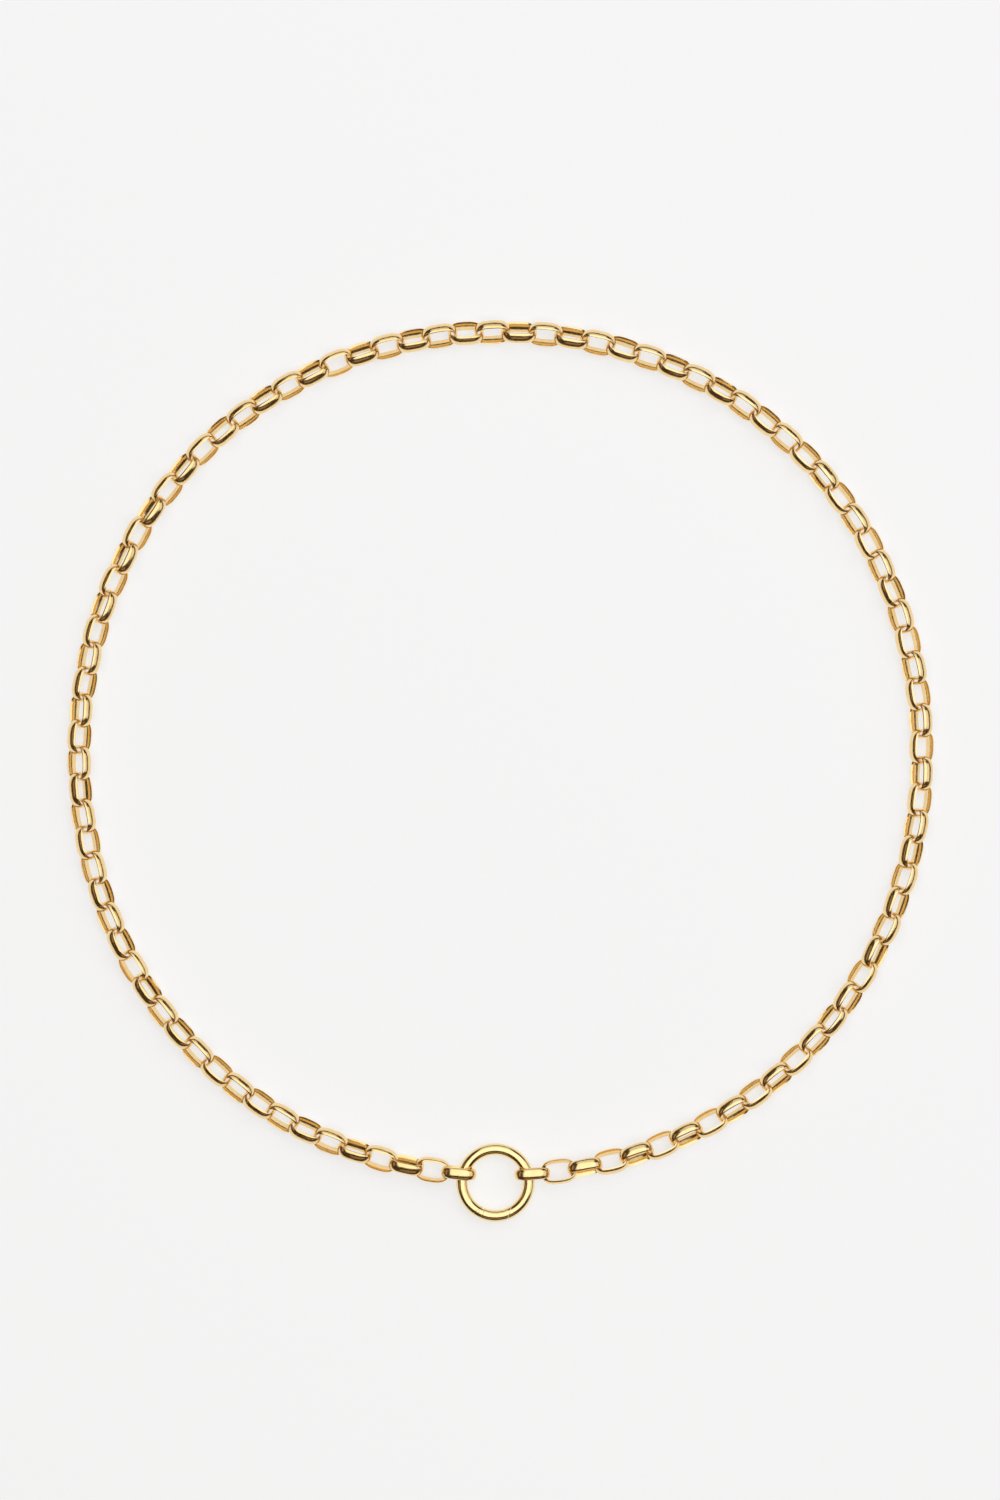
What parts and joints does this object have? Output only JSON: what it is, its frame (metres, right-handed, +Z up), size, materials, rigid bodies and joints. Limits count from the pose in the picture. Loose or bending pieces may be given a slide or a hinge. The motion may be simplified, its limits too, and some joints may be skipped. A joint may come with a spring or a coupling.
{
  "type": "chain necklace",
  "caption": "Belcher chain necklace of wide domed oval links, lying in a round loop and closed by a plain push-gate ring clasp.",
  "frame": {"origin": "under the middle of the necklace's outline, on the surface that it lies on", "axes": "+Z up from that surface, +Y from the clasp across the loop, +X to the right seen from above with the clasp nearest"},
  "size_m": [0.1454, 0.1514, 0.0042],
  "materials": {
    "chain_gold": "polished warm yellow gold, fine handling marks",
    "clasp_gold": "mirror-polished, slightly paler yellow gold",
    "spring_steel": "drawn spring strip"
  },
  "bodies": {
    "ring": {"ring_body": "clasp_gold", "gate_pin": "clasp_gold", "gate_spring": "spring_steel"},
    "gate": {"ring_gate": "clasp_gold"},
    "link_01": {"link_01": "chain_gold"},
    "link_98": {"link_98": "chain_gold"},
    "link_02": {"link_02": "chain_gold"},
    "link_97": {"link_97": "chain_gold"},
    "link_03": {"link_03": "chain_gold"},
    "link_96": {"link_96": "chain_gold"},
    "link_04": {"link_04": "chain_gold"},
    "link_95": {"link_95": "chain_gold"},
    "link_05": {"link_05": "chain_gold"},
    "link_94": {"link_94": "chain_gold"},
    "link_06": {"link_06": "chain_gold"},
    "link_93": {"link_93": "chain_gold"},
    "links_07_08": {"links_07_08": "chain_gold"},
    "links_91_92": {"links_91_92": "chain_gold"},
    "links_09_10": {"links_09_10": "chain_gold"},
    "links_89_90": {"links_89_90": "chain_gold"},
    "links_11_12": {"links_11_12": "chain_gold"},
    "links_87_88": {"links_87_88": "chain_gold"},
    "links_13_14": {"links_13_14": "chain_gold"},
    "links_85_86": {"links_85_86": "chain_gold"},
    "links_15_16": {"links_15_16": "chain_gold"},
    "links_83_84": {"links_83_84": "chain_gold"},
    "links_17_18": {"links_17_18": "chain_gold"},
    "links_81_82": {"links_81_82": "chain_gold"},
    "links_19_20": {"links_19_20": "chain_gold"},
    "links_79_80": {"links_79_80": "chain_gold"},
    "links_21_22": {"links_21_22": "chain_gold"},
    "links_77_78": {"links_77_78": "chain_gold"},
    "links_23_24": {"links_23_24": "chain_gold"},
    "links_75_76": {"links_75_76": "chain_gold"},
    "links_25_26": {"links_25_26": "chain_gold"},
    "links_73_74": {"links_73_74": "chain_gold"},
    "links_27_28": {"links_27_28": "chain_gold"},
    "links_71_72": {"links_71_72": "chain_gold"},
    "links_29_30": {"links_29_30": "chain_gold"},
    "links_69_70": {"links_69_70": "chain_gold"},
    "links_31_32": {"links_31_32": "chain_gold"},
    "links_67_68": {"links_67_68": "chain_gold"},
    "links_33_34": {"links_33_34": "chain_gold"},
    "links_65_66": {"links_65_66": "chain_gold"},
    "links_35_36": {"links_35_36": "chain_gold"},
    "links_63_64": {"links_63_64": "chain_gold"},
    "links_37_38": {"links_37_38": "chain_gold"},
    "links_61_62": {"links_61_62": "chain_gold"},
    "links_39_40": {"links_39_40": "chain_gold"},
    "links_59_60": {"links_59_60": "chain_gold"},
    "links_41_42": {"links_41_42": "chain_gold"},
    "links_57_58": {"links_57_58": "chain_gold"},
    "links_43_44": {"links_43_44": "chain_gold"},
    "links_55_56": {"links_55_56": "chain_gold"},
    "links_45_46": {"links_45_46": "chain_gold"},
    "links_53_54": {"links_53_54": "chain_gold"},
    "links_47_48": {"links_47_48": "chain_gold"},
    "links_51_52": {"links_51_52": "chain_gold"},
    "link_49": {"link_49": "chain_gold"},
    "link_50": {"link_50": "chain_gold"}
  },
  "joints": [
    {"name": "gate_hinge", "type": "hinge", "parent": "ring", "child": "gate", "pos_m": [-0.00288, -0.07387, 0.00174], "axis": [0, 0, 1], "range_deg": [0, 28], "stiffness_Nm_per_rad": 0.003, "springref_deg": -17.19},
    {"name": "fold_01", "type": "hinge", "parent": "ring", "child": "link_01", "pos_m": [0.0049, -0.06752, 0.00114], "axis": [1, 0, 0], "range_deg": [-18, 18]},
    {"name": "fold_01_left", "type": "hinge", "parent": "ring", "child": "link_98", "pos_m": [-0.0049, -0.06752, 0.00114], "axis": [1, 0, 0], "range_deg": [-18, 18]},
    {"name": "fold_02", "type": "hinge", "parent": "link_01", "child": "link_02", "pos_m": [0.0084, -0.06727, 0.00213], "axis": [1, 0, 0], "range_deg": [-8, 8]},
    {"name": "fold_02_left", "type": "hinge", "parent": "link_98", "child": "link_97", "pos_m": [-0.0084, -0.06727, 0.00213], "axis": [1, 0, 0], "range_deg": [-8, 8]},
    {"name": "fold_03", "type": "hinge", "parent": "link_02", "child": "link_03", "pos_m": [0.01279, -0.06666, 0.00209], "axis": [1, 0, 0], "range_deg": [-10, 10]},
    {"name": "fold_03_left", "type": "hinge", "parent": "link_97", "child": "link_96", "pos_m": [-0.01279, -0.06666, 0.00209], "axis": [1, 0, 0], "range_deg": [-10, 10]},
    {"name": "fold_04", "type": "hinge", "parent": "link_03", "child": "link_04", "pos_m": [0.01716, -0.06577, 0.00206], "axis": [1, 0, 0], "range_deg": [-11, 11]},
    {"name": "fold_04_left", "type": "hinge", "parent": "link_96", "child": "link_95", "pos_m": [-0.01716, -0.06577, 0.00206], "axis": [1, 0, 0], "range_deg": [-11, 11]},
    {"name": "fold_05", "type": "hinge", "parent": "link_04", "child": "link_05", "pos_m": [0.02148, -0.06463, 0.00204], "axis": [1, 0, 0], "range_deg": [-10, 10]},
    {"name": "fold_05_left", "type": "hinge", "parent": "link_95", "child": "link_94", "pos_m": [-0.02148, -0.06463, 0.00204], "axis": [1, 0, 0], "range_deg": [-10, 10]},
    {"name": "fold_06", "type": "hinge", "parent": "link_05", "child": "link_06", "pos_m": [0.02572, -0.06322, 0.00202], "axis": [1, 0, 0], "range_deg": [-8, 8]},
    {"name": "fold_06_left", "type": "hinge", "parent": "link_94", "child": "link_93", "pos_m": [-0.02572, -0.06322, 0.00202], "axis": [1, 0, 0], "range_deg": [-8, 8]},
    {"name": "fold_07", "type": "hinge", "parent": "link_06", "child": "links_07_08", "pos_m": [0.02984, -0.06157, 0.002], "axis": [-1, 0, 0], "range_deg": [-13, 13]},
    {"name": "fold_07_left", "type": "hinge", "parent": "link_93", "child": "links_91_92", "pos_m": [-0.02984, -0.06157, 0.002], "axis": [-1, 0, 0], "range_deg": [-13, 13]},
    {"name": "fold_08", "type": "hinge", "parent": "links_07_08", "child": "links_09_10", "pos_m": [0.03782, -0.05742, 0.00197], "axis": [-1, 0, 0], "range_deg": [-16, 16]},
    {"name": "fold_08_left", "type": "hinge", "parent": "links_91_92", "child": "links_89_90", "pos_m": [-0.03782, -0.05742, 0.00197], "axis": [-1, 0, 0], "range_deg": [-16, 16]},
    {"name": "fold_09", "type": "hinge", "parent": "links_09_10", "child": "links_11_12", "pos_m": [0.04517, -0.05227, 0.00195], "axis": [-1, 0, 0], "range_deg": [-17, 17]},
    {"name": "fold_09_left", "type": "hinge", "parent": "links_89_90", "child": "links_87_88", "pos_m": [-0.04517, -0.05227, 0.00195], "axis": [-1, 0, 0], "range_deg": [-17, 17]},
    {"name": "fold_10", "type": "hinge", "parent": "links_11_12", "child": "links_13_14", "pos_m": [0.05177, -0.04618, 0.00193], "axis": [-1, 0, 0], "range_deg": [-19, 19]},
    {"name": "fold_10_left", "type": "hinge", "parent": "links_87_88", "child": "links_85_86", "pos_m": [-0.05177, -0.04618, 0.00193], "axis": [-1, 0, 0], "range_deg": [-19, 19]},
    {"name": "fold_11", "type": "hinge", "parent": "links_13_14", "child": "links_15_16", "pos_m": [0.05748, -0.03925, 0.00192], "axis": [-1, 0, 0], "range_deg": [-21, 21]},
    {"name": "fold_11_left", "type": "hinge", "parent": "links_85_86", "child": "links_83_84", "pos_m": [-0.05748, -0.03925, 0.00192], "axis": [-1, 0, 0], "range_deg": [-21, 21]},
    {"name": "fold_12", "type": "hinge", "parent": "links_15_16", "child": "links_17_18", "pos_m": [0.06222, -0.03163, 0.00191], "axis": [-1, 0, 0], "range_deg": [-24, 24]},
    {"name": "fold_12_left", "type": "hinge", "parent": "links_83_84", "child": "links_81_82", "pos_m": [-0.06222, -0.03163, 0.00191], "axis": [-1, 0, 0], "range_deg": [-24, 24]},
    {"name": "fold_13", "type": "hinge", "parent": "links_17_18", "child": "links_19_20", "pos_m": [0.06592, -0.02348, 0.0019], "axis": [1, 0, 0], "range_deg": [-28, 28]},
    {"name": "fold_13_left", "type": "hinge", "parent": "links_81_82", "child": "links_79_80", "pos_m": [-0.06592, -0.02348, 0.0019], "axis": [1, 0, 0], "range_deg": [-28, 28]},
    {"name": "fold_14", "type": "hinge", "parent": "links_19_20", "child": "links_21_22", "pos_m": [0.06856, -0.01495, 0.0019], "axis": [1, 0, 0], "range_deg": [-30, 30]},
    {"name": "fold_14_left", "type": "hinge", "parent": "links_79_80", "child": "links_77_78", "pos_m": [-0.06856, -0.01495, 0.0019], "axis": [1, 0, 0], "range_deg": [-30, 30]},
    {"name": "fold_15", "type": "hinge", "parent": "links_21_22", "child": "links_23_24", "pos_m": [0.07015, -0.00618, 0.00189], "axis": [1, 0, 0], "range_deg": [-30, 30]},
    {"name": "fold_15_left", "type": "hinge", "parent": "links_77_78", "child": "links_75_76", "pos_m": [-0.07015, -0.00618, 0.00189], "axis": [1, 0, 0], "range_deg": [-30, 30]},
    {"name": "fold_16", "type": "hinge", "parent": "links_23_24", "child": "links_25_26", "pos_m": [0.0707, 0.00271, 0.00189], "axis": [-1, 0, 0], "range_deg": [-30, 30]},
    {"name": "fold_16_left", "type": "hinge", "parent": "links_75_76", "child": "links_73_74", "pos_m": [-0.0707, 0.00271, 0.00189], "axis": [-1, 0, 0], "range_deg": [-30, 30]},
    {"name": "fold_17", "type": "hinge", "parent": "links_25_26", "child": "links_27_28", "pos_m": [0.07021, 0.0116, 0.00189], "axis": [-1, 0, 0], "range_deg": [-30, 30]},
    {"name": "fold_17_left", "type": "hinge", "parent": "links_73_74", "child": "links_71_72", "pos_m": [-0.07021, 0.0116, 0.00189], "axis": [-1, 0, 0], "range_deg": [-30, 30]},
    {"name": "fold_18", "type": "hinge", "parent": "links_27_28", "child": "links_29_30", "pos_m": [0.06868, 0.02038, 0.00189], "axis": [-1, 0, 0], "range_deg": [-30, 30]},
    {"name": "fold_18_left", "type": "hinge", "parent": "links_71_72", "child": "links_69_70", "pos_m": [-0.06868, 0.02038, 0.00189], "axis": [-1, 0, 0], "range_deg": [-30, 30]},
    {"name": "fold_19", "type": "hinge", "parent": "links_29_30", "child": "links_31_32", "pos_m": [0.0661, 0.02892, 0.00188], "axis": [1, 0, 0], "range_deg": [-28, 28]},
    {"name": "fold_19_left", "type": "hinge", "parent": "links_69_70", "child": "links_67_68", "pos_m": [-0.0661, 0.02892, 0.00188], "axis": [1, 0, 0], "range_deg": [-28, 28]},
    {"name": "fold_20", "type": "hinge", "parent": "links_31_32", "child": "links_33_34", "pos_m": [0.06246, 0.0371, 0.00188], "axis": [1, 0, 0], "range_deg": [-24, 24]},
    {"name": "fold_20_left", "type": "hinge", "parent": "links_67_68", "child": "links_65_66", "pos_m": [-0.06246, 0.0371, 0.00188], "axis": [1, 0, 0], "range_deg": [-24, 24]},
    {"name": "fold_21", "type": "hinge", "parent": "links_33_34", "child": "links_35_36", "pos_m": [0.05778, 0.04475, 0.00188], "axis": [1, 0, 0], "range_deg": [-21, 21]},
    {"name": "fold_21_left", "type": "hinge", "parent": "links_65_66", "child": "links_63_64", "pos_m": [-0.05778, 0.04475, 0.00188], "axis": [1, 0, 0], "range_deg": [-21, 21]},
    {"name": "fold_22", "type": "hinge", "parent": "links_35_36", "child": "links_37_38", "pos_m": [0.05212, 0.05172, 0.00188], "axis": [1, 0, 0], "range_deg": [-19, 19]},
    {"name": "fold_22_left", "type": "hinge", "parent": "links_63_64", "child": "links_61_62", "pos_m": [-0.05212, 0.05172, 0.00188], "axis": [1, 0, 0], "range_deg": [-19, 19]},
    {"name": "fold_23", "type": "hinge", "parent": "links_37_38", "child": "links_39_40", "pos_m": [0.04557, 0.05787, 0.00188], "axis": [1, 0, 0], "range_deg": [-17, 17]},
    {"name": "fold_23_left", "type": "hinge", "parent": "links_61_62", "child": "links_59_60", "pos_m": [-0.04557, 0.05787, 0.00188], "axis": [1, 0, 0], "range_deg": [-17, 17]},
    {"name": "fold_24", "type": "hinge", "parent": "links_39_40", "child": "links_41_42", "pos_m": [0.03826, 0.06307, 0.00188], "axis": [-1, 0, 0], "range_deg": [-16, 16]},
    {"name": "fold_24_left", "type": "hinge", "parent": "links_59_60", "child": "links_57_58", "pos_m": [-0.03826, 0.06307, 0.00188], "axis": [-1, 0, 0], "range_deg": [-16, 16]},
    {"name": "fold_25", "type": "hinge", "parent": "links_41_42", "child": "links_43_44", "pos_m": [0.03034, 0.06727, 0.00188], "axis": [-1, 0, 0], "range_deg": [-15, 15]},
    {"name": "fold_25_left", "type": "hinge", "parent": "links_57_58", "child": "links_55_56", "pos_m": [-0.03034, 0.06727, 0.00188], "axis": [-1, 0, 0], "range_deg": [-15, 15]},
    {"name": "fold_26", "type": "hinge", "parent": "links_43_44", "child": "links_45_46", "pos_m": [0.02197, 0.07041, 0.00188], "axis": [-1, 0, 0], "range_deg": [-15, 15]},
    {"name": "fold_26_left", "type": "hinge", "parent": "links_55_56", "child": "links_53_54", "pos_m": [-0.02197, 0.07041, 0.00188], "axis": [-1, 0, 0], "range_deg": [-15, 15]},
    {"name": "fold_27", "type": "hinge", "parent": "links_45_46", "child": "links_47_48", "pos_m": [0.0133, 0.0725, 0.00188], "axis": [-1, 0, 0], "range_deg": [-15, 15]},
    {"name": "fold_27_left", "type": "hinge", "parent": "links_53_54", "child": "links_51_52", "pos_m": [-0.0133, 0.0725, 0.00188], "axis": [-1, 0, 0], "range_deg": [-15, 15]},
    {"name": "fold_28", "type": "hinge", "parent": "links_47_48", "child": "link_49", "pos_m": [0.0044, 0.07354, 0.00188], "axis": [-1, 0, 0], "range_deg": [-11, 11]},
    {"name": "fold_28_left", "type": "hinge", "parent": "links_51_52", "child": "link_50", "pos_m": [-0.0044, 0.07354, 0.00188], "axis": [-1, 0, 0], "range_deg": [-11, 11]}
  ],
  "couplings": [
    {"joint": "fold_01_left", "follows": "fold_01", "ratio": 1},
    {"joint": "fold_02_left", "follows": "fold_02", "ratio": 1},
    {"joint": "fold_03_left", "follows": "fold_03", "ratio": 1},
    {"joint": "fold_04_left", "follows": "fold_04", "ratio": 1},
    {"joint": "fold_05_left", "follows": "fold_05", "ratio": 1},
    {"joint": "fold_06_left", "follows": "fold_06", "ratio": 1},
    {"joint": "fold_07_left", "follows": "fold_07", "ratio": 1},
    {"joint": "fold_08_left", "follows": "fold_08", "ratio": 1},
    {"joint": "fold_09_left", "follows": "fold_09", "ratio": 1},
    {"joint": "fold_10_left", "follows": "fold_10", "ratio": 1},
    {"joint": "fold_11_left", "follows": "fold_11", "ratio": 1},
    {"joint": "fold_12_left", "follows": "fold_12", "ratio": 1},
    {"joint": "fold_13_left", "follows": "fold_13", "ratio": 1},
    {"joint": "fold_14_left", "follows": "fold_14", "ratio": 1},
    {"joint": "fold_15_left", "follows": "fold_15", "ratio": 1},
    {"joint": "fold_16_left", "follows": "fold_16", "ratio": 1},
    {"joint": "fold_17_left", "follows": "fold_17", "ratio": 1},
    {"joint": "fold_18_left", "follows": "fold_18", "ratio": 1},
    {"joint": "fold_19_left", "follows": "fold_19", "ratio": 1},
    {"joint": "fold_20_left", "follows": "fold_20", "ratio": 1},
    {"joint": "fold_21_left", "follows": "fold_21", "ratio": 1},
    {"joint": "fold_22_left", "follows": "fold_22", "ratio": 1},
    {"joint": "fold_23_left", "follows": "fold_23", "ratio": 1},
    {"joint": "fold_24_left", "follows": "fold_24", "ratio": 1},
    {"joint": "fold_25_left", "follows": "fold_25", "ratio": 1},
    {"joint": "fold_26_left", "follows": "fold_26", "ratio": 1},
    {"joint": "fold_27_left", "follows": "fold_27", "ratio": 1},
    {"joint": "fold_28_left", "follows": "fold_28", "ratio": 1}
  ]
}
